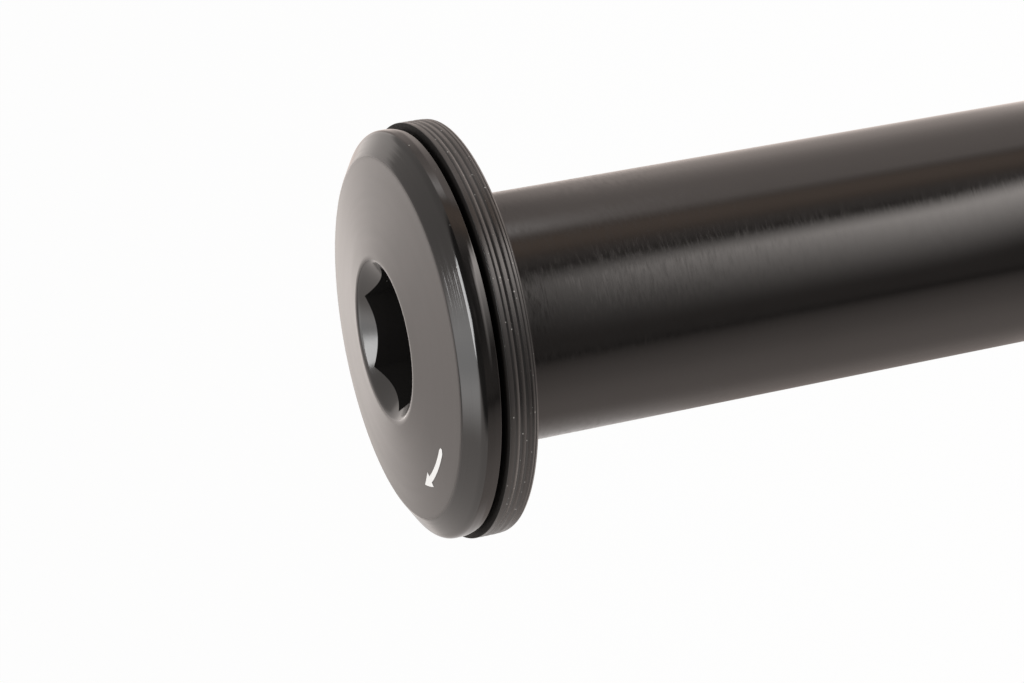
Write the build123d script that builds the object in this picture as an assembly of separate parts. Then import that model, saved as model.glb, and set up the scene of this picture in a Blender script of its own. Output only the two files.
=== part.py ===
from build123d import *
import os
from math import radians, tan

# Bicycle thru axle: a hollow axle with a low hex-socket head, a free-turning washer under the head and the rubber
# ring that keeps the washer there. It stands on its threaded tip, with the head up and its axis on Z. Lengths are
# in mm and angles in degrees.

# Shaft and thread
seat_to_tip = 168.7  # from the washer's seat, which meets the frame, to the end of the thread
shaft_diameter = 11.95  # also over the crests of the M12 x 1.5 thread
tip_chamfer = 0.7
bore_diameter = 7.5
bore_mouth_chamfer = 0.3
drill_point_angle = 118.0

# Head
head_diameter = 19.5
face_diameter = 17.34  # of the conical face, at the edge where the chamfer starts
face_slope = 7.0
head_height = 1.56  # from the underside to the edge of the face
chamfer_height = 0.71
face_edge_round = 0.3
rim_edge_round = 0.3
rim_taper_height = 0.33  # of the rim's rear part, which narrows towards the underside
rim_taper = 0.05
underside_edge_round = 0.05

# Hex socket
across_flats = 6.02
socket_depth = 8.0
mouth_diameter = 7.68
mouth_angle = 100.0
mouth_round = 0.5

# Journal under the head, which the washer turns on
journal_diameter = 13.6
journal_setback = 0.05  # of its lower end from the washer's seat
neck_round = 0.25

# Washer
washer_overhang = 0.2  # beyond the head's rim, all round
washer_thickness = 1.38
washer_bore_clearance = 0.05
washer_bore_chamfer = 0.1
head_gap = 0.3
rim_land = 0.26
ridge_count = 5
ridge_depth = 0.04
land_taper = 0.03  # by which the land narrows towards the ridges
land_edge_round = 0.04

# Rubber ring
ring_section = 0.7
ring_seat_depth = 0.45
ring_side_clearance = 0.05
ring_washer_clearance = 0.1

# Heights along the axis, from the tip
washer_top = seat_to_tip + washer_thickness
underside = washer_top + head_gap
face_edge = underside + head_height
crown = face_edge + (face_diameter - mouth_diameter) / 2 * tan(radians(face_slope))
socket_bottom = crown - socket_depth
drill_slope = tan(radians(drill_point_angle / 2))
bore_shoulder = socket_bottom - (bore_diameter - across_flats) / 2 / drill_slope
ring_height = seat_to_tip + washer_thickness / 2


def turned(corners):
    """A solid turned about Z, from its outline's corners as radius, height and rounding."""
    outline = make_face(Polyline([(r, z) for r, z, _ in corners], close=True))
    for r, z, rounding in corners:
        if rounding:
            outline = fillet(outline.vertices().sort_by_distance((r, z))[0], rounding)
    return revolve(Plane.XZ * outline, Axis.Z)


def make_axle():
    """The axle in one piece: shaft, journal with the rubber ring's groove, and head, hollowed from both ends."""
    shaft_r = shaft_diameter / 2
    journal_r = journal_diameter / 2
    groove_r = journal_r - ring_seat_depth
    groove_half = ring_section / 2 + ring_side_clearance
    blank = turned([
        (0, 0, 0),
        (shaft_r - tip_chamfer, 0, 0),
        (shaft_r, tip_chamfer, 0),
        (shaft_r, seat_to_tip + journal_setback, 0),
        (journal_r, seat_to_tip + journal_setback, 0),
        (journal_r, ring_height - groove_half, 0),
        (groove_r, ring_height - groove_half, 0),
        (groove_r, ring_height + groove_half, 0),
        (journal_r, ring_height + groove_half, 0),
        (journal_r, underside, neck_round),
        (head_diameter / 2 - rim_taper, underside, underside_edge_round),
        (head_diameter / 2, underside + rim_taper_height, 0),
        (head_diameter / 2, face_edge - chamfer_height, rim_edge_round),
        (face_diameter / 2, face_edge, face_edge_round),
        (mouth_diameter / 2, crown, 0),
        (0, crown, 0),
    ])
    axle = blank - make_bore() - make_socket()
    mouth = axle.edges().filter_by(GeomType.CIRCLE).sort_by(Axis.Z)[-1]
    return fillet(mouth, mouth_round)


def make_bore():
    """The hollow up from the tip, with a drill's cone at its end and a chamfered mouth."""
    bore_r = bore_diameter / 2
    return turned([
        (0, 0, 0),
        (bore_r + bore_mouth_chamfer, 0, 0),
        (bore_r, bore_mouth_chamfer, 0),
        (bore_r, bore_shoulder, 0),
        (0, bore_shoulder + bore_r / drill_slope, 0),
    ])


def make_socket():
    """The hex socket, open into the hollow, with a countersink whose cone leaves a scallop on each flat."""
    mouth_r = mouth_diameter / 2
    cone_slope = tan(radians(mouth_angle / 2))
    countersink = turned([
        (0, crown - mouth_r / cone_slope, 0),
        (mouth_r, crown, 0),
        (0, crown, 0),
    ])
    hexagon = RegularPolygon(across_flats / 2, 6, major_radius=False)
    return extrude(Pos(0, 0, bore_shoulder) * hexagon, crown - bore_shoulder) + countersink


def make_washer():
    """The ring under the head: a plain land, then rounded ridges round the rim, and a groove in its bore."""
    rim_r = head_diameter / 2 + washer_overhang
    foot_r = rim_r - ridge_depth
    bore_r = journal_diameter / 2 + washer_bore_clearance
    neck_chamfer = washer_bore_chamfer + neck_round
    washer = turned([
        (bore_r + washer_bore_chamfer, seat_to_tip, 0),
        (foot_r, seat_to_tip, 0),
        (foot_r, washer_top - rim_land, 0),
        (rim_r - land_taper, washer_top - rim_land, 0),
        (rim_r, washer_top, land_edge_round),
        (bore_r + neck_chamfer, washer_top, 0),
        (bore_r, washer_top - neck_chamfer, 0),
        (bore_r, seat_to_tip + washer_bore_chamfer, 0),
    ])
    pitch = (washer_thickness - rim_land) / ridge_count
    for ridge in range(ridge_count):
        washer += make_ridge(foot_r, seat_to_tip + ridge * pitch, pitch)
    return washer - make_ring_room()


def make_ridge(foot_r, low, pitch):
    """One rounded ridge of the rim, from its lower edge up."""
    inner_r = foot_r - ridge_depth
    crest = ThreePointArc((foot_r, low), (foot_r + ridge_depth, low + pitch / 2), (foot_r, low + pitch))
    sides = Polyline((foot_r, low + pitch), (inner_r, low + pitch), (inner_r, low), (foot_r, low))
    return revolve(Plane.XZ * make_face([crest, sides]), Axis.Z)


def make_ring_room():
    """The groove in the washer's bore that the rubber ring stands into."""
    ring_outer_r = journal_diameter / 2 - ring_seat_depth + ring_section
    room = Cylinder(ring_outer_r + ring_washer_clearance, ring_section + 2 * ring_washer_clearance)
    return Pos(0, 0, ring_height) * room


def make_o_ring():
    """The rubber ring, seated on the bottom of the journal's groove."""
    section_r = ring_section / 2
    middle_r = journal_diameter / 2 - ring_seat_depth + section_r
    return revolve(Plane.XZ * Pos(middle_r, ring_height) * Circle(section_r), Axis.Z)


pieces = {"axle": make_axle(), "washer": make_washer(), "o_ring": make_o_ring()}
os.makedirs("parts", exist_ok=True)
for name, piece in pieces.items():
    export_step(piece, f"parts/{name}.step")
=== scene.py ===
from functools import cache
from math import atan2, cos, degrees, pi, radians, sin, sqrt, tan
from typing import NamedTuple

import bpy
import numpy as np
from mathutils import Matrix, Vector


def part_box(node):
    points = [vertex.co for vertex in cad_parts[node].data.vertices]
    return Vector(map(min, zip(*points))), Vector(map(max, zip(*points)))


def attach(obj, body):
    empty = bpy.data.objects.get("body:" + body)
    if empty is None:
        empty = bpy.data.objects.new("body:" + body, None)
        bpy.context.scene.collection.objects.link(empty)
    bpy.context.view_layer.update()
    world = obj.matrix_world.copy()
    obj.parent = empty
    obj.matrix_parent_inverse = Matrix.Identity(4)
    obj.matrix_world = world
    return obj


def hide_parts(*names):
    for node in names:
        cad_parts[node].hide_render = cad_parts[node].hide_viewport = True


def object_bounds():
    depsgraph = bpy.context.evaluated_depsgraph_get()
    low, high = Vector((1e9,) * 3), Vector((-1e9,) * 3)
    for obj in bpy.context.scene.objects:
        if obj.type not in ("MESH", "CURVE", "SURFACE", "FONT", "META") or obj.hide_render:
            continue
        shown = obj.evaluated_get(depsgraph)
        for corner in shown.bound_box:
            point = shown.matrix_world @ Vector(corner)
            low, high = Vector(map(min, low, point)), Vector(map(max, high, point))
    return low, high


bl_info = {
    "name": "Thru axle",
    "version": (1, 0, 0),
    "blender": (4, 5, 0),
    "location": "3D View > Sidebar > Thru axle",
    "description": "Builds a bicycle thru axle with its ridged washer, rubber ring and printed arrow",
    "category": "Add Mesh",
}

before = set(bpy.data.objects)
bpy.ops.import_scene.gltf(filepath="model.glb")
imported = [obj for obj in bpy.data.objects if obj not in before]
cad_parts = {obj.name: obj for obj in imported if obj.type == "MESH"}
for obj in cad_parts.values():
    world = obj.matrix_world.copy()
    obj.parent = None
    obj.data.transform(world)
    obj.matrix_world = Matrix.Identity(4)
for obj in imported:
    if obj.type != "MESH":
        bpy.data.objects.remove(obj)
CAD_LOW, CAD_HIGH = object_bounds()
WASHER_LOW, WASHER_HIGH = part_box("washer")

MM = 0.001
BLACK = (0.0, 0.0, 0.0)
WHITE = (1.0, 1.0, 1.0)

# Turned meshes
SEGMENTS = 240  # round each piece, a multiple of six so that the hexagon's corners fall on vertices
ARC_STEPS = 8  # along each rounding
SUPPORT = 0.03 * MM  # from a rounding to the ring of vertices that keeps the flat beside it flat
CRISP_ANGLE = radians(28.0)  # between two faces, above which their edge is sharp
FLATS_RING = 0.3  # of the way down the socket's flats, where one more ring of vertices lies

# The thread
TURN_STEPS = 16  # rings of vertices in each turn
FLANK_ANGLE = radians(30.0)  # between a flank and the plane square to the axis
CREST_FLAT = 0.125  # width of the crest, as a share of the pitch

# The washer's ridges, from the seat up, and the land above them
RIDGE_STEPS = 12
RIDGE_WIDTHS = (0.12, 0.15, 0.24, 0.28, 0.21)  # as shares of the ridged band
CREST_DROPS = (0.6, 0.2, 0.0, 0.0, 0.0)  # below the rim, as shares of the ridge depth
GROOVE_DROPS = (1.5, 0.75, 0.5, 0.85, 0.85, 0.7)  # below the rim, at the ridges' edges, as the same shares
CREST_AT = 0.68  # of each ridge's width
CLIMB_POWER = 1.6  # of the curve up to the crest: the higher, the flatter the ridge is near its crest
LAND_BEND = 0.5  # of the land's width from its top, where its slope gets steeper
BEND_TAPER = 0.25  # of the land's taper, reached at that bend

# The arrow
STROKE_STEPS = 24
POINT_STEPS = 8
TAIL_WIDTH = 0.35  # at the very end, as a share of the stroke's width
TAIL_GROWTH = 0.4  # by which that share grows with each step
POINT_HALF = 0.02 * MM  # half the width of the blunt point

# Node trees
NODE_SPACING = 210
MIX_COLOURS = (6, 7)  # inputs of a Mix node that take its two colours
MIX_RESULT = 2  # output of a Mix node that gives the mixed colour


# Settings


def length(name, description, millimetres):
    """A length for the panel, given here in millimetres."""
    return bpy.props.FloatProperty(
        name=name, description=description, default=millimetres * MM, unit="LENGTH", precision=5
    )


def angle(name, description, in_degrees):
    """An angle for the panel, given here in degrees."""
    return bpy.props.FloatProperty(
        name=name, description=description, default=radians(in_degrees), unit="ROTATION"
    )


def position(name, description, x, y, z):
    """A place for the panel, given here in millimetres."""
    return bpy.props.FloatVectorProperty(
        name=name,
        description=description,
        default=(x * MM, y * MM, z * MM),
        subtype="XYZ_LENGTH",
        unit="LENGTH",
        size=3,
        precision=5,
    )


def colour(name, description, red, green, blue):
    """A linear colour for the panel."""
    return bpy.props.FloatVectorProperty(
        name=name,
        description=description,
        default=(red, green, blue),
        subtype="COLOR",
        size=3,
        min=0.0,
        max=1.0,
    )


class ShaftSizes(bpy.types.PropertyGroup):
    """The shaft, its thread and the hollow through it."""

    diameter: length("Diameter", "Across the shaft and over the crests of its thread", 11.95)
    tip_chamfer: length("Tip chamfer", "Width of the chamfer at the thread's start", 0.7)
    thread_length: length("Thread length", "Of the thread, with its run-out", 17.0)
    thread_pitch: length("Thread pitch", "From crest to crest", 1.5)
    thread_depth: length("Thread depth", "From crest to root", 0.92)
    run_out: length("Run-out", "Over which the thread gets shallow where it ends", 2.2)
    bore_diameter: length("Bore diameter", "Of the hollow", 7.5)
    bore_chamfer: length("Bore chamfer", "At the hollow's mouth", 0.3)
    journal_diameter: length("Journal diameter", "Of the stub that the washer turns on", 13.6)
    journal_setback: length("Journal setback", "Of the journal's lower end from the washer's seat", 0.05)
    neck_round: length("Neck rounding", "Where the journal meets the head", 0.25)
    groove_depth: length("Groove depth", "Of the rubber ring's groove in the journal", 0.45)
    groove_width: length("Groove width", "Of the rubber ring's groove in the journal", 0.8)


class HeadSizes(bpy.types.PropertyGroup):
    """The low head and its hex socket."""

    diameter: length("Diameter", "Across the rim", 19.5)
    height: length("Height", "From the underside to the edge of the face", 1.56)
    gap: length("Gap", "Between the washer and the underside", 0.3)
    face_diameter: length("Face diameter", "At the edge where the chamfer starts", 17.34)
    face_slope: angle("Face slope", "Of the conical face", 7.0)
    chamfer_height: length("Chamfer height", "Between the rim and the face", 0.71)
    face_edge_round: length("Face edge rounding", "Between the face and the chamfer", 0.55)
    rim_edge_round: length("Rim edge rounding", "Between the chamfer and the rim", 0.4)
    rim_taper_height: length("Rim taper height", "Of the rim's narrowing part above the underside", 0.33)
    rim_taper: length("Rim taper", "By which the rim narrows to the underside", 0.036)
    rim_taper_round: length("Rim taper rounding", "Where the rim starts to narrow", 1.5)
    underside_round: length("Underside rounding", "Between the rim and the underside", 0.05)
    mouth_diameter: length("Mouth diameter", "Of the countersink round the socket", 7.68)
    mouth_angle: angle("Mouth angle", "Of the countersink's cone", 100.0)
    mouth_round: length("Mouth rounding", "Of the lip between the face and the countersink", 0.5)
    across_flats: length("Across flats", "Of the hex socket", 6.02)
    socket_depth: length("Socket depth", "To the drill's cone", 8.0)
    drill_angle: angle("Drill angle", "Of the cone at the end of the hollow", 118.0)


class WasherSizes(bpy.types.PropertyGroup):
    """The washer that turns under the head."""

    diameter: length("Diameter", "Across the ridges", 19.9)
    bore_diameter: length("Bore diameter", "Of the hole for the journal", 13.7)
    bore_chamfer: length("Bore chamfer", "At the seat's side", 0.1)
    neck_chamfer: length("Neck chamfer", "At the head's side", 0.35)
    land: length("Land", "Width of the plain band next to the head", 0.26)
    land_taper: length("Land taper", "By which the plain band narrows to the ridges", 0.024)
    land_round: length("Land rounding", "Of the plain band's upper edge", 0.04)
    ridge_depth: length("Ridge depth", "Usual depth of the grooves between the ridges", 0.04)
    room_diameter: length("Ring room diameter", "Of the groove that the rubber ring stands into", 14.3)
    room_width: length("Ring room width", "Of the groove that the rubber ring stands into", 0.9)


class ArrowSizes(bpy.types.PropertyGroup):
    """The tightening arrow on the face."""

    lift: length("Lift", "Of the print above the metal", 0.012)
    radius: length("Radius", "From the axis to the middle of the stroke", 7.05)
    stroke: length("Stroke", "Width of the stroke", 0.305)
    head: length("Head", "Width of the arrow's head", 0.73)
    start: angle("Start", "Of the tail, round the axis", -128.7)
    neck: angle("Neck", "Where the arrow's head starts, round the axis", -152.0)
    tip: angle("Tip", "Of the arrow's point, round the axis", -160.0)


class Finish(bpy.types.PropertyGroup):
    """Colours of the finishes."""

    shaft: colour("Shaft", "Polished black anodise", 0.0068, 0.0062, 0.006)
    turned: colour("Turned head", "Black anodise on the turned chamfer and rim", 0.0064, 0.006, 0.0058)
    face: colour("Face", "Satin anodise on the blasted face", 0.043, 0.037, 0.0343)
    # The socket's colour is black anodise lightened with painted light, which lifts the dark of the deep
    # socket.
    socket: colour("Socket", "Black anodise inside the hex socket", 0.015, 0.014, 0.0135)
    washer: colour("Washer", "Black anodise on the washer", 0.013, 0.0118, 0.0113)
    # The inside colour is dull black lightened with painted light, which lifts the dark of the shaded gap
    # between the head and the washer.
    inside: colour("Inside", "Dull black between the head and the washer", 0.012, 0.0105, 0.0095)
    rubber: colour("Rubber", "The ring", 0.014, 0.014, 0.0145)
    print_white: colour("Print", "White print", 0.76, 0.75, 0.735)
    dust: colour("Dust", "Pale specks", 0.44, 0.42, 0.4)


class Stage(bpy.types.PropertyGroup):
    """Camera, lamp and floor."""

    camera_place: position("Camera place", "Where the camera stands", 25.664, -137.561, 214.803)
    camera_aim: position("Camera aim", "The point in the middle of the picture", -0.808, -1.956, 166.862)
    camera_up: bpy.props.FloatVectorProperty(
        name="Camera up",
        description="The direction that is up in the picture",
        default=(0.9759, 0.1281, -0.1765),
        subtype="DIRECTION",
        size=3,
    )
    lens: bpy.props.FloatProperty(
        name="Lens", description="Focal length of the camera", default=109.44, min=1.0, unit="CAMERA"
    )
    lamp_place: position("Lamp place", "Where the middle of the soft lamp is", 66.0, -87.5, 507.0)
    lamp_size: length("Lamp size", "Across the soft lamp", 190.0)
    lamp_power: bpy.props.FloatProperty(
        name="Lamp power", description="Of the soft lamp", default=0.62, min=0.0, unit="POWER"
    )
    floor: colour("Floor", "The pale floor", 0.97, 0.965, 0.96)
    warmth: bpy.props.FloatVectorProperty(
        name="Warmth",
        description="Tint of the light that the room sends back",
        default=(1.12, 0.975, 0.905),
        size=3,
    )


class ThruAxleSettings(bpy.types.PropertyGroup):
    """All settings of the thru axle."""

    shaft: bpy.props.PointerProperty(type=ShaftSizes)
    head: bpy.props.PointerProperty(type=HeadSizes)
    washer: bpy.props.PointerProperty(type=WasherSizes)
    arrow: bpy.props.PointerProperty(type=ArrowSizes)
    finish: bpy.props.PointerProperty(type=Finish)
    stage: bpy.props.PointerProperty(type=Stage)


def settings():
    """The settings in the current scene."""
    return bpy.context.scene.thru_axle


# Turned shapes


def rounded_outline(corners):
    """Rings along an outline: radius, height and the finish of the stretch after it.

    A corner is radius, height, rounding and the finish of the stretch after it. A rounding is an arc, whose
    first half has the finish before the corner and whose second half has the finish after it.
    """
    points = []
    for index, (radius, height, rounding, finish) in enumerate(corners):
        corner = Vector((radius, height))
        if not rounding:
            points.append((corner, finish))
            continue
        *before, _, finish_before = corners[index - 1]
        *after, _, _ = corners[(index + 1) % len(corners)]
        back = (Vector(before) - corner).normalized()
        ahead = (Vector(after) - corner).normalized()
        half_turn = (pi - back.angle(ahead)) / 2
        reach = rounding * tan(half_turn)
        centre = corner + (back + ahead).normalized() * rounding / cos(half_turn)
        start = corner + back * reach
        turn = (start - centre).angle_signed(corner + ahead * reach - centre)
        points.append((corner + back * (reach + SUPPORT), finish_before))
        for step in range(ARC_STEPS + 1):
            spoke = Matrix.Rotation(-turn * step / ARC_STEPS, 2) @ (start - centre)
            points.append((centre + spoke, finish_before if step < ARC_STEPS / 2 else finish))
        points.append((corner + ahead * (reach + SUPPORT), finish))
    return [(point.x, point.y, finish) for point, finish in points]


def add_object(name, data):
    """A new object in the scene, round its data."""
    added = bpy.data.objects.new(name, data)
    bpy.context.scene.collection.objects.link(added)
    return added


def turned_object(name, rings):
    """A mesh object from rings that run once round its outline, each a radius, a height and a finish.

    A ring's radius and height are single numbers, or arrays with a number for each segment.
    """
    around = np.arange(SEGMENTS) * 2 * pi / SEGMENTS
    places = np.empty((len(rings), SEGMENTS, 3))
    for index, (radius, height, _) in enumerate(rings):
        places[index, :, 0] = radius * np.cos(around)
        places[index, :, 1] = radius * np.sin(around)
        places[index, :, 2] = height
    corner = np.arange(len(rings) * SEGMENTS).reshape(len(rings), SEGMENTS)
    beside = np.roll(corner, -1, axis=1)
    quads = np.stack([corner, beside, np.roll(beside, -1, axis=0), np.roll(corner, -1, axis=0)], axis=-1)
    mesh = bpy.data.meshes.new(name)
    mesh.from_pydata(places.reshape(-1, 3).tolist(), [], quads.reshape(-1, 4).tolist())
    ring_finishes = [finish for _, _, finish in rings]
    order = [finish for finish in ANODISE if finish in ring_finishes]
    for finish in order:
        mesh.materials.append(finishes().anodise(finish))
    indices = np.repeat([order.index(finish) for finish in ring_finishes], SEGMENTS)
    mesh.polygons.foreach_set("material_index", indices)
    mesh.shade_smooth()
    mesh.set_sharp_from_angle(angle=CRISP_ANGLE)
    mesh.validate()
    return add_object(name, mesh)


def soften_thread(mesh, thread_length):
    """Takes the sharp edges off the thread, whose flanks shade as rolled metal does."""
    heights = np.empty(len(mesh.vertices) * 3)
    mesh.vertices.foreach_get("co", heights)
    heights = heights[2::3]
    ends = np.empty(len(mesh.edges) * 2, dtype=int)
    mesh.edges.foreach_get("vertices", ends)
    low, high = heights[ends[0::2]], heights[ends[1::2]]
    in_thread = (np.maximum(low, high) < thread_length) & (np.minimum(low, high) > SUPPORT)
    sharp = mesh.attributes["sharp_edge"].data
    crisp = np.empty(len(sharp), dtype=bool)
    sharp.foreach_get("value", crisp)
    sharp.foreach_set("value", crisp & ~in_thread)


def face_height(head, radius):
    """How high the conical face is above the tip, at a radius."""
    face_edge = WASHER_HIGH.z + head.gap + head.height
    return face_edge + (head.face_diameter / 2 - radius) * tan(head.face_slope)


def thread_rings(shaft):
    """Rings of the right-hand thread, from the tip up, with flat crests and a run-out at the end."""
    crest = shaft.diameter / 2
    pitch = shaft.thread_pitch
    around = np.arange(SEGMENTS) / SEGMENTS
    steps = round(TURN_STEPS * shaft.thread_length / pitch)
    rings = []
    for step in range(steps + 1):
        height = shaft.thread_length * step / steps
        from_crest = np.abs((height / pitch - around) % 1.0 - 0.5) * pitch
        flank = (from_crest - CREST_FLAT * pitch / 2) / tan(FLANK_ANGLE)
        allowed = shaft.thread_depth * min(1.0, (shaft.thread_length - height) / shaft.run_out)
        cut = np.clip(flank, 0.0, allowed)
        radius = np.minimum(crest - cut, crest - shaft.tip_chamfer + height)
        rings.append((radius, height, "thread"))
    return rings


def shaft_and_head_rings(shaft, head):
    """Rings from the end of the thread up the shaft, round the head and over its face to the socket."""
    shaft_r = shaft.diameter / 2
    journal_r = shaft.journal_diameter / 2
    groove_r = journal_r - shaft.groove_depth
    rim_r = head.diameter / 2
    face_r = head.face_diameter / 2
    mouth_r = head.mouth_diameter / 2
    inner_r = head.across_flats / sqrt(3.0) + SUPPORT
    journal_foot = WASHER_LOW.z + shaft.journal_setback
    groove_middle = (WASHER_LOW.z + WASHER_HIGH.z) / 2
    groove_foot = groove_middle - shaft.groove_width / 2
    groove_top = groove_middle + shaft.groove_width / 2
    underside = WASHER_HIGH.z + head.gap
    face_edge = face_height(head, face_r)
    crown = face_height(head, mouth_r)
    inner_height = crown - (mouth_r - inner_r) / tan(head.mouth_angle / 2)
    corners = [
        (shaft_r, shaft.thread_length + SUPPORT, 0, "shaft"),
        (shaft_r, journal_foot, 0, "inside"),
        (journal_r, journal_foot, 0, "inside"),
        (journal_r, groove_foot, 0, "inside"),
        (groove_r, groove_foot, 0, "inside"),
        (groove_r, groove_top, 0, "inside"),
        (journal_r, groove_top, 0, "inside"),
        (journal_r, underside, shaft.neck_round, "inside"),
        (rim_r - head.rim_taper, underside, head.underside_round, "head"),
        (rim_r, underside + head.rim_taper_height, head.rim_taper_round, "head"),
        (rim_r, face_edge - head.chamfer_height, head.rim_edge_round, "chamfer"),
        (face_r, face_edge, head.face_edge_round, "face"),
        (mouth_r, crown, head.mouth_round, "socket"),
        (inner_r, inner_height, 0, "socket"),
    ]
    return rounded_outline(corners)


def socket_rings(shaft, head):
    """Rings down the hex socket: countersunk scallops, the six flats, the drill's cone and the hollow."""
    around = np.arange(SEGMENTS) * 2 * pi / SEGMENTS
    flat_r = head.across_flats / 2
    hexagon = flat_r / np.cos(around % (pi / 3) - pi / 6)
    mouth_r = head.mouth_diameter / 2
    crown = face_height(head, mouth_r)
    scallop = crown - (mouth_r - hexagon) / tan(head.mouth_angle / 2)
    bore_r = shaft.bore_diameter / 2
    drill_slope = tan(head.drill_angle / 2)
    shoulder = crown - head.socket_depth - (bore_r - flat_r) / drill_slope
    floor = shoulder + (bore_r - hexagon) / drill_slope
    return [
        (hexagon, scallop, "socket"),
        (hexagon, scallop + (floor - scallop) * FLATS_RING, "socket"),
        (hexagon, floor, "socket"),
        (bore_r, shoulder, "socket"),
        (bore_r, shoulder / 2, "socket"),
        (bore_r, shaft.bore_chamfer, "socket"),
        (bore_r + shaft.bore_chamfer, 0.0, "thread"),
    ]


def ridge_rings(washer):
    """Rings of the washer's ridges, which rise slowly from the seat's side and fall off fast above."""
    rim_r = washer.diameter / 2
    grooves = [rim_r - washer.ridge_depth * share for share in GROOVE_DROPS]
    crests = [rim_r - washer.ridge_depth * share for share in CREST_DROPS]
    foot = WASHER_LOW.z
    ridged = WASHER_HIGH.z - washer.land - foot
    rings = [(grooves[0] - SUPPORT, foot, "washer")]
    for share, lower, crest, upper in zip(RIDGE_WIDTHS, grooves, crests, grooves[1:]):
        width = share * ridged
        for step in range(RIDGE_STEPS):
            along = step / RIDGE_STEPS
            climb = max(0.0, 1.0 - along / CREST_AT) ** CLIMB_POWER
            fall = 0.5 - 0.5 * cos(pi * max(0.0, along - CREST_AT) / (1.0 - CREST_AT))
            radius = crest - (crest - lower) * climb - (crest - upper) * fall
            rings.append((radius, foot + along * width, "washer"))
        foot += width
    rings.append((grooves[-1], foot, "washer"))
    return rings


def washer_rings(washer):
    """Rings of the washer: seat, ridges, plain land, top, and the bore with the rubber ring's room."""
    low, high = WASHER_LOW.z, WASHER_HIGH.z
    rim_r = washer.diameter / 2
    bore_r = washer.bore_diameter / 2
    room_r = washer.room_diameter / 2
    room_foot = (low + high - washer.room_width) / 2
    room_top = (low + high + washer.room_width) / 2
    lip_r = bore_r + max(0.0, washer.neck_chamfer - (high - room_top))
    corners = [
        (rim_r - washer.land_taper, high - washer.land, 0, "washer"),
        (rim_r - washer.land_taper * BEND_TAPER, high - washer.land * LAND_BEND, 0, "washer"),
        (rim_r, high, washer.land_round, "inside"),
        (bore_r + washer.neck_chamfer, high, 0, "inside"),
        (lip_r, room_top, 0, "inside"),
        (room_r, room_top, 0, "inside"),
        (room_r, room_foot, 0, "inside"),
        (bore_r, room_foot, 0, "inside"),
        (bore_r, low + washer.bore_chamfer, 0, "washer"),
    ]
    seat = [(bore_r + washer.bore_chamfer, low, "washer")]
    return seat + ridge_rings(washer) + rounded_outline(corners)


def arrow_widths(arrow):
    """Angles round the axis along the arrow, from its tail to its point, each with half its width there."""
    widths = []
    for step in range(STROKE_STEPS + 1):
        turn = arrow.start + (arrow.neck - arrow.start) * step / STROKE_STEPS
        share = min(1.0, TAIL_WIDTH + step * TAIL_GROWTH)
        widths.append((turn, arrow.stroke / 2 * share))
    for step in range(POINT_STEPS + 1):
        turn = arrow.neck + (arrow.tip - arrow.neck) * step / POINT_STEPS
        share = 1 - step / POINT_STEPS
        widths.append((turn, arrow.head / 2 * share + POINT_HALF))
    return widths


# Node groups and finishes


class Band(NamedTuple):
    """A level that is reached over one span of a value and left again over another."""

    rise: tuple
    fall: tuple
    level: float = 1.0


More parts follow.
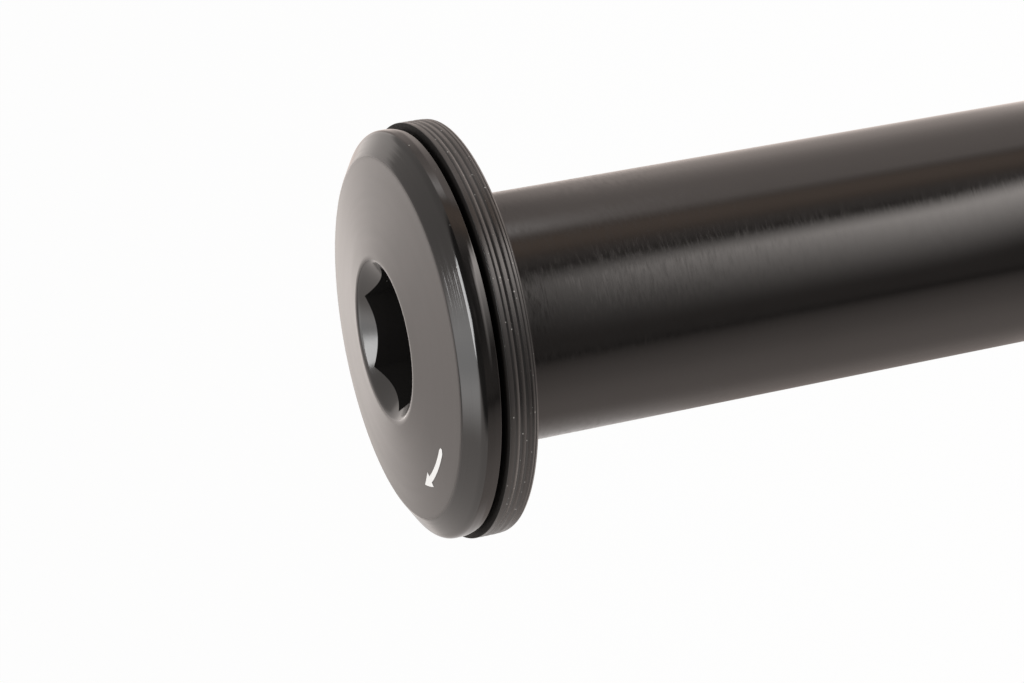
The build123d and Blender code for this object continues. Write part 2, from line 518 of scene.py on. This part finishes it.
class NodeDesk:
    """Adds nodes to one tree from left to right, with inputs given as values or as other nodes' sockets."""

    def __init__(self, tree):
        self.tree = tree
        self.column = 0
        tree.nodes.clear()

    def give(self, socket, value):
        """Links a socket to another one, or sets its value."""
        if isinstance(value, bpy.types.NodeSocket):
            self.tree.links.new(value, socket)
        else:
            socket.default_value = value

    def add(self, kind, inputs=None, **options):
        """A new node of a kind."""
        node = self.tree.nodes.new(kind)
        node.location = (self.column * NODE_SPACING, 0)
        self.column += 1
        for name, value in options.items():
            setattr(node, name, value)
        for key, value in (inputs or {}).items():
            self.give(node.inputs[key], value)
        return node

    def math(self, operation, first, second=0.0):
        """The result of a Math node."""
        return self.add("ShaderNodeMath", {0: first, 1: second}, operation=operation).outputs[0]

    def vector(self, operation, first, second):
        """The result of a Vector Math node."""
        return self.add("ShaderNodeVectorMath", {0: first, 1: second}, operation=operation).outputs[0]

    def spread(self, value, span, to=(0.0, 1.0), smooth=False):
        """A value taken from one span to another, and kept in it."""
        kind = "SMOOTHSTEP" if smooth else "LINEAR"
        inputs = {"Value": value, 1: span[0], 2: span[1], 3: to[0], 4: to[1]}
        return self.add("ShaderNodeMapRange", inputs, interpolation_type=kind).outputs["Result"]

    def band(self, value, band, smooth=False):
        """The level of a band at a value."""
        rise = self.spread(value, band.rise, (0.0, band.level), smooth)
        fall = self.spread(value, band.fall, (band.level, 0.0), smooth)
        return self.math("MINIMUM", rise, fall)

    def dim(self, light, share):
        """A colour without a share of its brightness."""
        return self.vector("MULTIPLY", light, self.math("SUBTRACT", 1.0, share))

    def blend(self, factor, first, second):
        """Two colours mixed by a factor."""
        node = self.add("ShaderNodeMix", {"Factor": factor}, data_type="RGBA")
        for key, value in zip(MIX_COLOURS, (first, second)):
            linked = isinstance(value, bpy.types.NodeSocket)
            self.give(node.inputs[key], value if linked else (*value, 1.0))
        return node.outputs[MIX_RESULT]

    def ramp(self, value, stops, span):
        """A brightness that follows a value over a span, with its stops given in that span."""
        node = self.add("ShaderNodeValToRGB", {0: self.spread(value, span)})
        elements = node.color_ramp.elements
        elements.remove(elements[1])
        for index, (at, level) in enumerate(stops):
            place = (at - span[0]) / (span[1] - span[0])
            stop = elements[0] if index == 0 else elements.new(place)
            stop.position = place
            stop.color = (level, level, level, 1.0)
        return node.outputs["Color"]

    def group(self, tree, **inputs):
        """A node group placed with its own values."""
        node = self.add("ShaderNodeGroup", node_tree=tree)
        for name, value in inputs.items():
            node.inputs[name.replace("_", " ").capitalize()].default_value = value
        return node.outputs

    def place_in_mm(self):
        """The place on the object, in millimetres."""
        place = self.add("ShaderNodeTexCoord").outputs["Object"]
        scale = {0: place, "Scale": 1.0 / MM}
        return self.add("ShaderNodeVectorMath", scale, operation="SCALE").outputs[0]

    def noise(self, place, scale, detail):
        """A noise between 0 and 1."""
        inputs = {"Vector": place, "Scale": scale, "Detail": detail}
        return self.add("ShaderNodeTexNoise", inputs).outputs["Fac"]

    def surface(self, shade, rough, height, depth, ior):
        """The end of a material: a bumped surface and the output."""
        bump = self.add("ShaderNodeBump", {"Height": height, "Distance": depth, "Strength": 1.0})
        shader = self.add(
            "ShaderNodeBsdfPrincipled",
            {"Base Color": shade, "Roughness": rough, "IOR": ior, "Normal": bump.outputs[0]},
        )
        self.add("ShaderNodeOutputMaterial", {"Surface": shader.outputs[0]})


def new_group(name, inputs, outputs):
    """An empty shader node group with named number sockets, its desk and its inputs."""
    group = bpy.data.node_groups.new(name, "ShaderNodeTree")
    for label, default in inputs.items():
        socket = group.interface.new_socket(label, in_out="INPUT", socket_type="NodeSocketFloat")
        socket.default_value = default
    for label in outputs:
        group.interface.new_socket(label, in_out="OUTPUT", socket_type="NodeSocketFloat")
    desk = NodeDesk(group)
    return group, desk, desk.add("NodeGroupInput").outputs


def new_material(name):
    """An empty node material and its desk."""
    material = bpy.data.materials.new(name)
    material.use_nodes = True
    return material, NodeDesk(material.node_tree)


class Lathe(NamedTuple):
    """What turning leaves: lines per mm, how far they wander, streaks per mm and the lines' depth in mm."""

    lines: float
    wander: float
    streaks: float
    depth: float


class Grain(NamedTuple):
    """The grain of a blasted or dyed surface: grains per mm and their depth in mm."""

    count: float
    depth: float


ANODISE_IOR = 1.77
EVERYWHERE = -100.0  # a height in mm that lies below the tip


class Anodise(NamedTuple):
    """One black anodised finish."""

    colour: str  # its name in the settings
    roughness: tuple  # the lowest, and the highest, which is that of a full streak
    lathe: Lathe
    grain: Grain
    dust: float = 0.0  # share of the cells that hold a speck
    ior: float = ANODISE_IOR
    worn_above: float = EVERYWHERE  # in mm from the tip, where the streaks get strong


ANODISE = {
    "thread": Anodise("shaft", (0.25, 0.4), Lathe(9.0, 1.0, 3.0, 0.0006), Grain(12.0, 0.0004), ior=1.7),
    "shaft": Anodise(
        "shaft", (0.05, 0.24), Lathe(14.0, 5.0, 9.0, 0.0004), Grain(6.0, 0.0002), 0.001, worn_above=155.0
    ),
    "head": Anodise("turned", (0.05, 0.09), Lathe(9.0, 0.6, 4.0, 0.0006), Grain(8.0, 0.0003), 0.06),
    "chamfer": Anodise("turned", (0.07, 0.15), Lathe(7.0, 0.6, 5.0, 0.006), Grain(8.0, 0.0003), 0.004),
    "face": Anodise("face", (0.33, 0.35), Lathe(5.0, 0.5, 1.5, 0.0), Grain(9.0, 0.0012)),
    # The socket's colour holds painted light, which lifts the dark of the deep socket.
    "socket": Anodise("socket", (0.14, 0.21), Lathe(6.0, 1.0, 3.0, 0.0008), Grain(8.0, 0.0008), 0.004),
    "washer": Anodise("washer", (0.24, 0.36), Lathe(10.0, 0.8, 4.0, 0.0012), Grain(14.0, 0.001), 0.6),
    # The inside colour holds painted light, which lifts the dark of the shaded gap under the head.
    "inside": Anodise("inside", (0.6, 0.7), Lathe(6.0, 1.0, 3.0, 0.0), Grain(8.0, 0.0), ior=1.3),
}

NOISE_SPAN = (0.3, 0.7)  # where nearly all of a noise lies
LINE_DETAIL = 2.0
GRAIN_DETAIL = 3.0
CLOUD_DETAIL = 2.0
CLOUD_SPAN = (0.3, 0.5)  # of the noise, from the darkest clouds to none
CLOUD_SHADE = 0.85  # brightness of the darkest clouds
STREAK_SPAN = (0.34, 0.67)  # of the noise, from no streak to a full one
STREAK_WANDER = 2.0  # times that of the lines
WEAR_SPAN = (-8.0, 6.0)  # in mm from the worn height, where the streaks grow to their full strength
UNWORN = 0.3  # strength of the streaks below that
SPECK_CORE = 0.4  # of a speck's size, inside which it covers fully
SPECK_ROUGHNESS = 0.8
PLAIN_IOR = 1.5
RUBBER_BLOOM = (0.0, 0.35)
RUBBER_ROUGHNESS = (0.5, 0.65)
RUBBER_DEPTH = 0.004 * MM
PRINT_THIN_SPAN = (0.62, 0.8)  # of the noise, from full print to its thinnest
PRINT_THIN = (0.0, 0.12)  # share of the metal that shows there
PRINT_ROUGHNESS = (0.45, 0.6)
PRINT_DEPTH = 0.003 * MM


def turned_marks_group():
    """Fine lines that a lathe leaves, as a height, and streaks along them, strong above a worn height."""
    group, desk, given = new_group(
        "Turned marks",
        {"Lines": 8.0, "Wander": 1.5, "Streaks": 3.0, "Worn above": EVERYWHERE},
        ("Height", "Streak"),
    )
    place = desk.add("ShaderNodeSeparateXYZ", {0: desk.place_in_mm()}).outputs
    flat = desk.add("ShaderNodeCombineXYZ", {"X": place["X"], "Y": place["Y"]}).outputs[0]
    radius = desk.add("ShaderNodeVectorMath", {0: flat}, operation="LENGTH").outputs["Value"]
    along = desk.math("SUBTRACT", place["Z"], radius)
    across = desk.math("DIVIDE", place["X"], radius)
    over = desk.math("DIVIDE", place["Y"], radius)

    def lines(count, wander):
        inputs = {
            "X": desk.math("MULTIPLY", along, count),
            "Y": desk.math("MULTIPLY", across, wander),
            "Z": desk.math("MULTIPLY", over, wander),
        }
        return desk.noise(desk.add("ShaderNodeCombineXYZ", inputs).outputs[0], 1.0, LINE_DETAIL)

    height = lines(given["Lines"], given["Wander"])
    streak = lines(given["Streaks"], desk.math("MULTIPLY", given["Wander"], STREAK_WANDER))
    above = desk.math("SUBTRACT", place["Z"], given["Worn above"])
    worn = desk.spread(above, WEAR_SPAN, (UNWORN, 1.0))
    streak = desk.math("MULTIPLY", desk.spread(streak, STREAK_SPAN), worn)
    desk.add("NodeGroupOutput", {"Height": height, "Streak": streak})
    return group


def blast_grain_group():
    """The fine even grain of a blasted or dyed surface, as a height, and its slow cloudiness."""
    group, desk, given = new_group("Blast grain", {"Grain": 9.0, "Cloud": 0.35}, ("Height", "Cloud"))
    place = desk.place_in_mm()
    grain = desk.noise(place, given["Grain"], GRAIN_DETAIL)
    cloud = desk.noise(place, given["Cloud"], CLOUD_DETAIL)
    desk.add("NodeGroupOutput", {"Height": grain, "Cloud": cloud})
    return group


def dust_group():
    """Sparse pale specks: the share of cells with one, the cells per mm and a speck's size in its cell."""
    group, desk, given = new_group("Dust", {"Share": 0.03, "Cells": 4.0, "Size": 0.2}, ("Speck",))
    cells = desk.add("ShaderNodeTexVoronoi", {"Vector": desk.place_in_mm(), "Scale": given["Cells"]})
    pick = desk.add("ShaderNodeSeparateColor", {0: cells.outputs["Color"]}).outputs
    chosen = desk.math("LESS_THAN", pick["Red"], given["Share"])
    reach = desk.math("MULTIPLY", given["Size"], pick["Green"])
    core = desk.math("MULTIPLY", reach, SPECK_CORE)
    near = desk.spread(cells.outputs["Distance"], (reach, core))
    desk.add("NodeGroupOutput", {"Speck": desk.math("MULTIPLY", chosen, near)})
    return group


class Finishes:
    """The materials of the thru axle, over shared node groups."""

    def __init__(self, colours):
        self.colours = colours
        self.turned_marks = turned_marks_group()
        self.blast_grain = blast_grain_group()
        self.dust = dust_group()
        self.anodised = {}

    def anodise(self, name):
        """Black anodised aluminium, made once for each name."""
        if name not in self.anodised:
            self.anodised[name] = self.new_anodise(f"{name.capitalize()} anodise", ANODISE[name])
        return self.anodised[name]

    def new_anodise(self, name, finish):
        """A new material for an anodised finish."""
        material, desk = new_material(name)
        marks = desk.group(
            self.turned_marks,
            lines=finish.lathe.lines,
            wander=finish.lathe.wander,
            streaks=finish.lathe.streaks,
            worn_above=finish.worn_above,
        )
        blast = desk.group(self.blast_grain, grain=finish.grain.count)
        speck = desk.group(self.dust, share=finish.dust)["Speck"]
        cloudy = desk.spread(blast["Cloud"], CLOUD_SPAN, (CLOUD_SHADE, 1.0))
        tint = desk.blend(cloudy, BLACK, getattr(self.colours, finish.colour))
        shade = desk.blend(speck, tint, self.colours.dust)
        streaky = desk.spread(marks["Streak"], (0.0, 1.0), finish.roughness)
        rough = desk.math("MAXIMUM", streaky, desk.math("MULTIPLY", speck, SPECK_ROUGHNESS))
        lined = desk.math("MULTIPLY", marks["Height"], finish.lathe.depth)
        grained = desk.math("MULTIPLY", blast["Height"], finish.grain.depth)
        desk.surface(shade, rough, desk.math("ADD", lined, grained), MM, finish.ior)
        return material

    def rubber(self):
        """Black moulded rubber with a dull bloom."""
        material, desk = new_material("Rubber")
        blast = desk.group(self.blast_grain, grain=14.0, cloud=0.8)
        bloom = desk.spread(blast["Cloud"], NOISE_SPAN, RUBBER_BLOOM)
        shade = desk.blend(bloom, self.colours.rubber, self.colours.dust)
        rough = desk.spread(blast["Height"], NOISE_SPAN, RUBBER_ROUGHNESS)
        desk.surface(shade, rough, blast["Height"], RUBBER_DEPTH, PLAIN_IOR)
        return material

    def print_white(self):
        """White print, a little thin in places."""
        material, desk = new_material("White print")
        blast = desk.group(self.blast_grain, grain=20.0, cloud=2.0)
        thin = desk.spread(blast["Cloud"], PRINT_THIN_SPAN, PRINT_THIN)
        shade = desk.blend(thin, self.colours.print_white, self.colours.face)
        rough = desk.spread(blast["Height"], NOISE_SPAN, PRINT_ROUGHNESS)
        desk.surface(shade, rough, blast["Height"], PRINT_DEPTH, PLAIN_IOR)
        return material


@cache
def finishes():
    """The shared finishes, made at first use."""
    return Finishes(settings().finish)


# Pieces


class THRUAXLE_OT_axle(bpy.types.Operator):
    """Builds the hollow axle with its thread, head and hex socket"""

    bl_idname = "thru_axle.axle"
    bl_label = "Axle"

    def execute(self, context):
        shaft, head = settings().shaft, settings().head
        rings = thread_rings(shaft) + shaft_and_head_rings(shaft, head) + socket_rings(shaft, head)
        piece = turned_object("axle_body", rings)
        soften_thread(piece.data, shaft.thread_length)
        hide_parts("axle")
        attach(piece, "axle")
        return {"FINISHED"}


class THRUAXLE_OT_washer(bpy.types.Operator):
    """Builds the ridged washer that turns under the head"""

    bl_idname = "thru_axle.washer"
    bl_label = "Washer"

    def execute(self, context):
        piece = turned_object("washer_ring", washer_rings(settings().washer))
        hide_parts("washer")
        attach(piece, "washer")
        return {"FINISHED"}


class THRUAXLE_OT_rubber_ring(bpy.types.Operator):
    """Gives the rubber ring between axle and washer its finish"""

    bl_idname = "thru_axle.rubber_ring"
    bl_label = "Rubber ring"

    def execute(self, context):
        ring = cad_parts["o_ring"]
        ring.data.materials.clear()
        ring.data.materials.append(finishes().rubber())
        return {"FINISHED"}


class THRUAXLE_OT_arrow(bpy.types.Operator):
    """Prints the tightening arrow on the face"""

    bl_idname = "thru_axle.arrow"
    bl_label = "Printed arrow"

    def execute(self, context):
        arrow, head = settings().arrow, settings().head
        widths = arrow_widths(arrow)
        vertices = []
        for turn, half in widths:
            for radius in (arrow.radius - half, arrow.radius + half):
                height = face_height(head, radius) + arrow.lift
                vertices.append((radius * cos(turn), radius * sin(turn), height))
        faces = [(2 * i, 2 * i + 2, 2 * i + 3, 2 * i + 1) for i in range(len(widths) - 1)]
        mesh = bpy.data.meshes.new("tightening_arrow")
        mesh.from_pydata(vertices, [], faces)
        mesh.materials.append(finishes().print_white())
        mesh.validate()
        piece = add_object("tightening_arrow", mesh)
        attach(piece, "axle")
        return {"FINISHED"}


# The stage

SENSOR_WIDTH = 36.0  # in mm
CLIP_START = 10.0 * MM
# The floor is narrower in front, and its places are in metres
FLOOR_CORNERS = ((-0.18, -0.2, 0.0), (0.18, -0.2, 0.0), (0.7, 2.0, 0.0), (-0.9, 2.0, 0.0))
FLOOR_WHITE = 0.92  # share of plain white where the floor is seen
AMBIENT = (0.8, 0.79, 0.78)  # light that dull surfaces get from all round

# The studio that shows in reflections, by direction. Angles are in degrees round the axle, from the
# camera's side towards the picture's top. Up, ahead to the camera and aside to the picture's top run from
# -1 to 1. A pair of them is where a change starts and ends, and a pair of levels is what it goes between.
FULL_TURN = (-180.0, 180.0)
BOTH_WAYS = (-1.0, 1.0)
UPWARDS = (0.0, 1.0)

# The walls, below the head's level: their brightness by angle, a brown stretch, and their upper part
WALL_LEVELS = (
    (-180, 0.3),
    (-160, 0.3),
    (-132, 0.44),
    (-116, 0.44),
    (-96, 0.51),
    (-84, 0.5),
    (-68, 0.4),
    (-60, 0.34),
    (-52, 0.23),
    (-45, 0.06),
    (-39, 0.11),
    (-28, 0.12),
    (0, 0.04),
    (28, 0.06),
    (38, 0.13),
    (44, 0.22),
    (52, 0.29),
    (59, 0.42),
    (65, 0.44),
    (70, 0.39),
    (74, 0.46),
    (79, 0.66),
    (90, 0.65),
    (104, 0.61),
    (116, 0.66),
    (132, 0.77),
    (148, 0.71),
    (160, 0.82),
    (180, 0.9),
)
BROWN_STRETCH = Band((44.0, 57.0), (66.0, 77.0))
BROWN_TINT = (1.14, 0.87, 0.71)
UPPER_WALL_UP = (-0.365, -0.32)
DARK_STRETCH = Band((95.0, 115.0), (148.0, 164.0), 0.4)
BRIGHT_PATCH = Band((73.0, 82.0), (84.0, 96.0), 0.7)
RAISED_UP = (-0.39, -0.335)
RAISED_ANGLE = (-110.0, -155.0)
RAISED_LEVEL = 0.45

# The bright panel on the camera's side
PANEL_LEAN_UP = (-0.46, -0.53)
PANEL_LEAN = 16.0
PANEL_EDGE = (22.0, 40.0)
PANEL_SLOPE = (-30.0, 22.0)
PANEL_SLOPE_POWER = 1.45
PANEL_TOP_UP = (-0.328, -0.352)
PANEL_TOP_LEVEL = 0.7
PANEL_BODY_UP = (-0.352, -0.5)
PANEL_LEVEL = 1.75
PANEL_TINT = (1.03, 0.955, 0.91)

# The table, which is brighter away from the camera, and the dark behind and right under the axle
TABLE_TILT_ANGLE = (60.0, 140.0)
TABLE_TILT = 0.12
TABLE_EDGE = (-0.58, -0.72)
TABLE_LEAST = 0.43
TABLE_ANGLE = 110.0  # from the camera's side, where the table is brighter by 1
TABLE_POWER = 1.3
BEHIND_ANGLE = (112.0, 135.0)
BEHIND_UP = (-0.5, -0.6)
BEHIND_DIM = (0.0, 0.6)
UNDER_UP = (-0.8, -0.92)
UNDER_LIGHT = (1.0, 0.25)

# The sky above the head's level: its brightness by height and side, and what differs towards the picture's
# bottom, in a low strip, towards the picture's top, on the camera's side and overhead
SKY_UP = (-0.14, -0.02)
SKY_LEVELS = ((0.0, 2.55), (0.08, 2.25), (0.14, 1.92), (0.25, 1.36), (0.5, 0.86), (0.65, 0.6), (0.9, 0.56))
SKY_SIDES = (
    (-1.0, 0.42),
    (-0.2, 0.42),
    (-0.08, 0.7),
    (-0.02, 0.89),
    (0.05, 0.95),
    (0.1, 1.22),
    (0.35, 0.78),
    (0.5, 0.7),
    (1.0, 0.64),
)
SKY_TINT = (1.07, 0.985, 0.935)
BOTTOM_SIDE = (-0.15, -0.35)
BOTTOM_GREY = (0.7, 0.7, 0.7)
STRIP_SIDE = (0.08, 0.19)
STRIP_UP = (0.12, 0.3)
STRIP_GREY = (1.24, 1.24, 1.24)
TOP_SIDE = (0.24, 0.46)
TOP_AHEAD = (-0.69, -0.79)
TOP_LEVEL = (0.46, 0.96)
FRONT_AHEAD = (-0.1, 0.25)
FRONT_NARROWING = 0.5
FRONT_LIGHT = (1.0, 0.06)
GLOW_PLACE = (-0.1, -0.155, 0.965)
GLOW_REACH = (0.12, 0.41)
GLOW_LEVEL = (1.3, 0.0)


class StudioLight:
    """Nodes for the light that the studio sends from each direction."""

    def __init__(self, desk, stage):
        front = Vector(stage.camera_place).xy
        heading = desk.add("ShaderNodeTexCoord").outputs["Generated"]
        turn = {"Vector": heading, "Angle": -atan2(front.y, front.x)}
        self.desk = desk
        self.warmth = stage.warmth
        self.heading = desk.add("ShaderNodeVectorRotate", turn, rotation_type="Z_AXIS").outputs[0]
        parts = desk.add("ShaderNodeSeparateXYZ", {0: self.heading}).outputs
        self.ahead, self.side, self.up = parts["X"], parts["Y"], parts["Z"]
        self.angle = desk.math("MULTIPLY", desk.math("ARCTAN2", self.side, self.ahead), degrees(1.0))
        self.apart = desk.math("ABSOLUTE", self.angle)

    def walls(self):
        """The walls round the axle, with a brown stretch and a different upper part."""
        desk = self.desk
        brown = desk.band(self.angle, BROWN_STRETCH, smooth=True)
        tint = desk.blend(brown, self.warmth, BROWN_TINT)
        light = desk.vector("MULTIPLY", desk.ramp(self.angle, WALL_LEVELS, FULL_TURN), tint)
        upper = desk.spread(self.up, UPPER_WALL_UP, smooth=True)
        light = desk.dim(light, desk.math("MULTIPLY", upper, desk.band(self.angle, DARK_STRETCH)))
        patch = desk.math("MULTIPLY", upper, desk.band(self.angle, BRIGHT_PATCH))
        light = desk.vector("ADD", light, patch)
        raised_up = desk.spread(self.up, RAISED_UP, smooth=True)
        raised = desk.spread(self.angle, RAISED_ANGLE, (0.0, RAISED_LEVEL))
        return desk.vector("ADD", light, desk.math("MULTIPLY", raised_up, raised))

    def panel(self):
        """The bright panel on the camera's side, which leans over in its lower part."""
        desk = self.desk
        leaning = desk.math("SUBTRACT", self.angle, desk.spread(self.up, PANEL_LEAN_UP, (0.0, PANEL_LEAN)))
        edge = desk.spread(leaning, PANEL_EDGE, (1.0, 0.0), smooth=True)
        slope = desk.math("POWER", desk.spread(leaning, PANEL_SLOPE), PANEL_SLOPE_POWER)
        top = desk.spread(self.up, PANEL_TOP_UP, (0.0, PANEL_TOP_LEVEL), smooth=True)
        body = desk.spread(self.up, PANEL_BODY_UP)
        level = desk.math("MULTIPLY", desk.math("ADD", top, body), PANEL_LEVEL)
        light = desk.math("MULTIPLY", desk.math("MINIMUM", edge, slope), level)
        return desk.vector("MULTIPLY", light, PANEL_TINT)

    def table(self):
        """The pale table far below, whose edge tilts up away from the camera."""
        desk = self.desk
        below = desk.math("SUBTRACT", self.up, desk.spread(self.apart, TABLE_TILT_ANGLE, (0.0, TABLE_TILT)))
        rise = desk.math("POWER", desk.math("DIVIDE", self.apart, TABLE_ANGLE), TABLE_POWER)
        level = desk.math("ADD", rise, TABLE_LEAST)
        light = desk.math("MULTIPLY", desk.spread(below, TABLE_EDGE, smooth=True), level)
        return desk.vector("MULTIPLY", light, self.warmth)

    def lower_half(self):
        """All that lies below the head's level."""
        desk = self.desk
        light = desk.vector("ADD", self.walls(), self.panel())
        light = desk.vector("ADD", light, self.table())
        behind = desk.spread(self.apart, BEHIND_ANGLE, BEHIND_DIM)
        low = desk.spread(self.up, BEHIND_UP, BEHIND_DIM, smooth=True)
        light = desk.dim(light, desk.math("MINIMUM", behind, low))
        return desk.vector("MULTIPLY", light, desk.spread(self.up, UNDER_UP, UNDER_LIGHT, smooth=True))

    def sky(self):
        """All that lies above the head's level: bright behind the axle, and dark on the camera's side."""
        desk = self.desk
        upwards = desk.ramp(self.up, SKY_LEVELS, UPWARDS)
        light = desk.math("MULTIPLY", upwards, desk.ramp(self.side, SKY_SIDES, BOTH_WAYS))
        light = desk.blend(desk.spread(self.side, BOTTOM_SIDE, smooth=True), light, BOTTOM_GREY)
        strip_side = desk.spread(self.side, STRIP_SIDE, smooth=True)
        strip_up = desk.spread(self.up, STRIP_UP, (1.0, 0.0), smooth=True)
        light = desk.blend(desk.math("MINIMUM", strip_side, strip_up), light, STRIP_GREY)
        top = desk.spread(self.ahead, TOP_AHEAD, TOP_LEVEL, smooth=True)
        light = desk.blend(desk.spread(self.side, TOP_SIDE, smooth=True), light, top)
        narrowing = desk.math("MULTIPLY", desk.math("ABSOLUTE", self.side), FRONT_NARROWING)
        front = desk.math("SUBTRACT", self.ahead, narrowing)
        light = desk.vector("MULTIPLY", light, desk.spread(front, FRONT_AHEAD, FRONT_LIGHT, smooth=True))
        return desk.vector("ADD", desk.vector("MULTIPLY", light, SKY_TINT), self.glow())

    def glow(self):
        """The soft glow overhead."""
        desk = self.desk
        off = desk.add("ShaderNodeVectorMath", {0: self.heading, 1: GLOW_PLACE}, operation="DISTANCE")
        return desk.spread(off.outputs["Value"], GLOW_REACH, GLOW_LEVEL, smooth=True)

    def all_round(self):
        """The light from every direction."""
        above = self.desk.spread(self.up, SKY_UP, smooth=True)
        return self.desk.blend(above, self.lower_half(), self.sky())


class THRUAXLE_OT_stage(bpy.types.Operator):
    """Sets the floor, the studio round it, the soft lamp and the camera"""

    bl_idname = "thru_axle.stage"
    bl_label = "Stage"

    def execute(self, context):
        stage = settings().stage
        context.scene.camera = self.make_camera(stage)
        self.make_floor(stage)
        self.make_lamp(stage)
        context.scene.world = self.make_world(stage)
        context.scene.view_settings.view_transform = "Standard"
        return {"FINISHED"}

    def make_camera(self, stage):
        """The camera, turned to its aim."""
        place, aim = Vector(stage.camera_place), Vector(stage.camera_aim)
        ahead = (aim - place).normalized()
        right = ahead.cross(Vector(stage.camera_up)).normalized()
        turn = Matrix((right, right.cross(ahead), -ahead)).transposed()
        data = bpy.data.cameras.new("Camera")
        data.lens = stage.lens
        data.sensor_width = SENSOR_WIDTH
        data.clip_start = CLIP_START
        camera = add_object("Camera", data)
        camera.matrix_world = Matrix.Translation(place) @ turn.to_4x4()
        return camera

    def make_floor(self, stage):
        """The floor, nearly white where it is seen and pale to the light that it sends back."""
        material, desk = new_material("Pale floor")
        path = desk.add("ShaderNodeLightPath").outputs
        seen = desk.math("MAXIMUM", path["Is Camera Ray"], path["Is Glossy Ray"])
        seen = desk.math("MAXIMUM", seen, path["Is Transmission Ray"])
        matte = desk.add("ShaderNodeBsdfDiffuse", {"Color": (*stage.floor, 1.0)}).outputs[0]
        white = desk.add("ShaderNodeEmission", {"Strength": 1.0}).outputs[0]
        part = desk.math("MULTIPLY", seen, FLOOR_WHITE)
        mixed = desk.add("ShaderNodeMixShader", {0: part, 1: matte, 2: white}).outputs[0]
        desk.add("ShaderNodeOutputMaterial", {"Surface": mixed})
        mesh = bpy.data.meshes.new("floor")
        mesh.from_pydata(FLOOR_CORNERS, [], [(0, 1, 2, 3)])
        mesh.materials.append(material)
        floor = add_object("floor", mesh)
        floor.visible_glossy = False

    def make_lamp(self, stage):
        """The soft lamp above the head."""
        data = bpy.data.lights.new("Softbox", "AREA")
        data.shape = "RECTANGLE"
        data.size = stage.lamp_size
        data.size_y = stage.lamp_size
        data.energy = stage.lamp_power
        lamp = add_object("Softbox", data)
        head_top = Vector((0.0, 0.0, CAD_HIGH.z))
        lamp.location = stage.lamp_place
        lamp.rotation_euler = (head_top - lamp.location).to_track_quat("-Z", "Y").to_euler()
        lamp.visible_camera = False

    def make_world(self, stage):
        """The world: a studio in reflections, even light on dull surfaces, and white where it is seen."""
        world = bpy.data.worlds.new("Studio")
        world.use_nodes = True
        desk = NodeDesk(world.node_tree)
        studio = StudioLight(desk, stage).all_round()
        path = desk.add("ShaderNodeLightPath").outputs
        lit = desk.blend(path["Is Glossy Ray"], AMBIENT, studio)
        seen = desk.math("MAXIMUM", path["Is Camera Ray"], path["Is Transmission Ray"])
        shown = desk.blend(seen, lit, WHITE)
        background = desk.add("ShaderNodeBackground", {"Color": shown, "Strength": 1.0})
        desk.add("ShaderNodeOutputWorld", {"Surface": background.outputs[0]})
        return world


# The panel and the add-on


class THRUAXLE_PT_panel(bpy.types.Panel):
    """The thru axle's sizes, finishes and pieces"""

    bl_label = "Thru axle"
    bl_idname = "THRUAXLE_PT_panel"
    bl_space_type = "VIEW_3D"
    bl_region_type = "UI"
    bl_category = "Thru axle"

    def draw(self, context):
        layout = self.layout
        for operator in OPERATORS:
            layout.operator(operator.bl_idname)
        for name in ThruAxleSettings.__annotations__:
            box = layout.box()
            box.label(text=name.capitalize())
            group = getattr(settings(), name)
            for field in group.__annotations__:
                box.prop(group, field)


OPERATORS = (
    THRUAXLE_OT_stage,
    THRUAXLE_OT_axle,
    THRUAXLE_OT_washer,
    THRUAXLE_OT_rubber_ring,
    THRUAXLE_OT_arrow,
)
CLASSES = (
    ShaftSizes,
    HeadSizes,
    WasherSizes,
    ArrowSizes,
    Finish,
    Stage,
    ThruAxleSettings,
    *OPERATORS,
    THRUAXLE_PT_panel,
)


def register():
    """Adds the classes and the scene's settings."""
    for item in CLASSES:
        bpy.utils.register_class(item)
    bpy.types.Scene.thru_axle = bpy.props.PointerProperty(type=ThruAxleSettings)


def unregister():
    """Takes the classes and the settings away again."""
    del bpy.types.Scene.thru_axle
    for item in reversed(CLASSES):
        bpy.utils.unregister_class(item)


def main():
    """Builds every piece and the stage."""
    register()
    bpy.ops.thru_axle.stage()
    bpy.ops.thru_axle.axle()
    bpy.ops.thru_axle.washer()
    bpy.ops.thru_axle.rubber_ring()
    bpy.ops.thru_axle.arrow()


if __name__ == "__main__":
    main()
